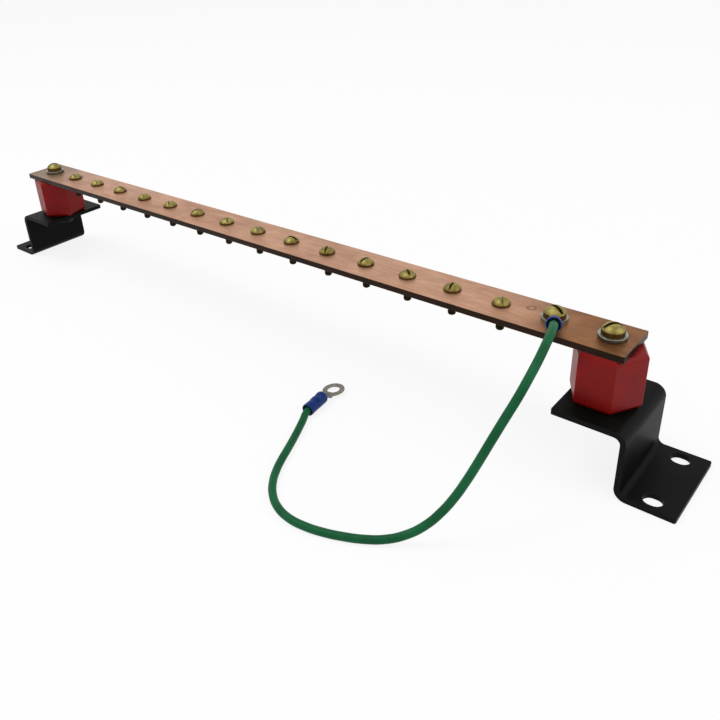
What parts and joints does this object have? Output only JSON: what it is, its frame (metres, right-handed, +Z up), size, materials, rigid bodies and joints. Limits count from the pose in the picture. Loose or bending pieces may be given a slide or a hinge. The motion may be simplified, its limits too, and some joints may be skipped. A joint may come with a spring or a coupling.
{
  "type": "rack grounding busbar",
  "caption": "Flat copper grounding bar with slotted brass screws on red hexagonal insulators and folded black rack brackets, with a green ground lead ending in a ring terminal.",
  "frame": {"origin": "under the bar, midway between the brackets, on the plane of their lower flanges", "axes": "+X along the bar towards the end with the ground lead, +Y to the back, +Z up from the brackets to the bar"},
  "size_m": [0.4826, 0.1346, 0.073],
  "materials": {
    "copper_bar": "satin, streaked and tarnished",
    "brass_fastener": "satin",
    "brass_insert": "satin",
    "tinned_copper": "satin",
    "blue_sleeve": "satin",
    "bare_copper": "bright",
    "green_insulation": "satin",
    "red_moulding": "satin",
    "plated_washer": "satin",
    "black_oxide_steel": "satin",
    "black_coated_steel": "semi-gloss"
  },
  "bodies": {
    "root": {"busbar": "copper_bar", "terminal_screw_1": "brass_fastener", "terminal_screw_2": "brass_fastener", "terminal_screw_3": "brass_fastener", "terminal_screw_4": "brass_fastener", "terminal_screw_5": "brass_fastener", "terminal_screw_6": "brass_fastener", "terminal_screw_7": "brass_fastener", "terminal_screw_8": "brass_fastener", "terminal_screw_9": "brass_fastener", "terminal_screw_10": "brass_fastener", "terminal_screw_11": "brass_fastener", "terminal_screw_12": "brass_fastener", "terminal_screw_13": "brass_fastener", "terminal_screw_14": "brass_fastener", "lead_screw": "brass_fastener", "lead_washer": "plated_washer", "bar_lug": "tinned_copper", "bar_lug_sleeve": "blue_sleeve", "bar_lug_strands": "bare_copper", "lead_wire": "green_insulation", "free_lug": "tinned_copper", "free_lug_sleeve": "blue_sleeve", "free_lug_strands": "bare_copper", "insulator_left": "red_moulding", "upper_insert_left": "brass_insert", "lower_insert_left": "brass_insert", "top_bolt_left": "brass_fastener", "top_washer_left": "plated_washer", "base_bolt_left": "black_oxide_steel", "base_washer_left": "black_oxide_steel", "bracket_left": "black_coated_steel", "insulator_right": "red_moulding", "upper_insert_right": "brass_insert", "lower_insert_right": "brass_insert", "top_bolt_right": "brass_fastener", "top_washer_right": "plated_washer", "base_bolt_right": "black_oxide_steel", "base_washer_right": "black_oxide_steel", "bracket_right": "black_coated_steel"}
  },
  "joints": []
}
